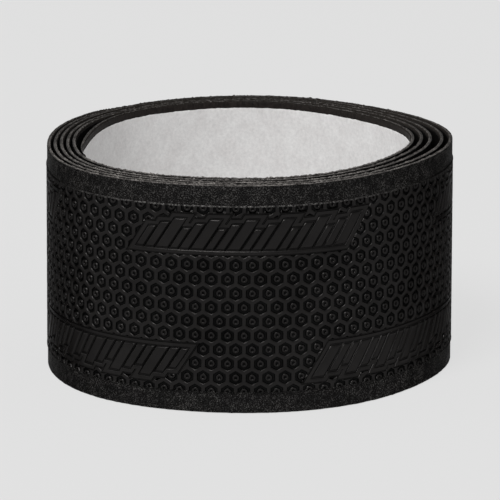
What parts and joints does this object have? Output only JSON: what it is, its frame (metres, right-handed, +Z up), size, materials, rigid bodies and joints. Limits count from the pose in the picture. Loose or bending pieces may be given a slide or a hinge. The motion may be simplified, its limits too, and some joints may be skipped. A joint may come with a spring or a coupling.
{
  "type": "grip tape roll",
  "caption": "Coreless roll of self-adhesive grip tape standing on its edge, with an embossed grip face, a felt base, a release liner and a free tail that peels open.",
  "frame": {"origin": "middle of the roll's box at its base", "axes": "+Z up along the roll's axis, across the tape's width; +X points 127.5 degrees clockwise of the outer end, seen from above; -Y is the front"},
  "size_m": [0.07, 0.069, 0.039],
  "materials": {
    "grip_face": "satin embossed polyurethane",
    "felt_base": "fibrous non-woven",
    "adhesive_film": "tacky film",
    "release_liner": "coated paper"
  },
  "bodies": {
    "roll": {"grip_face_wound": "grip_face", "felt_base_wound": "felt_base", "adhesive_film_wound": "adhesive_film", "release_liner_wound": "release_liner"},
    "tail_1": {"grip_face_tail_1": "grip_face", "felt_base_tail_1": "felt_base", "adhesive_film_tail_1": "adhesive_film", "release_liner_tail_1": "release_liner"},
    "tail_2": {"grip_face_tail_2": "grip_face", "felt_base_tail_2": "felt_base", "adhesive_film_tail_2": "adhesive_film", "release_liner_tail_2": "release_liner"},
    "tail_3": {"grip_face_tail_3": "grip_face", "felt_base_tail_3": "felt_base", "adhesive_film_tail_3": "adhesive_film", "release_liner_tail_3": "release_liner"},
    "tail_4": {"grip_face_tail_4": "grip_face", "felt_base_tail_4": "felt_base", "adhesive_film_tail_4": "adhesive_film", "release_liner_tail_4": "release_liner"}
  },
  "joints": [
    {"name": "tail_peel", "type": "hinge", "parent": "roll", "child": "tail_1", "pos_m": [-0.03477, -0.00381, 0.0195], "axis": [0, 0, 1], "range_deg": [0, 20], "stiffness_Nm_per_rad": 0.0004},
    {"name": "tail_bend_2", "type": "hinge", "parent": "tail_1", "child": "tail_2", "pos_m": [-0.03478, 0.00504, 0.0195], "axis": [0, 0, 1], "range_deg": [0, 20], "stiffness_Nm_per_rad": 0.0004},
    {"name": "tail_bend_3", "type": "hinge", "parent": "tail_2", "child": "tail_3", "pos_m": [-0.03259, 0.01363, 0.0195], "axis": [0, 0, 1], "range_deg": [0, 20], "stiffness_Nm_per_rad": 0.0004},
    {"name": "tail_bend_4", "type": "hinge", "parent": "tail_3", "child": "tail_4", "pos_m": [-0.02811, 0.02129, 0.0195], "axis": [0, 0, 1], "range_deg": [0, 20], "stiffness_Nm_per_rad": 0.0004}
  ],
  "couplings": [
    {"joint": "tail_bend_2", "follows": "tail_peel", "ratio": 1},
    {"joint": "tail_bend_3", "follows": "tail_peel", "ratio": 1},
    {"joint": "tail_bend_4", "follows": "tail_peel", "ratio": 1}
  ]
}
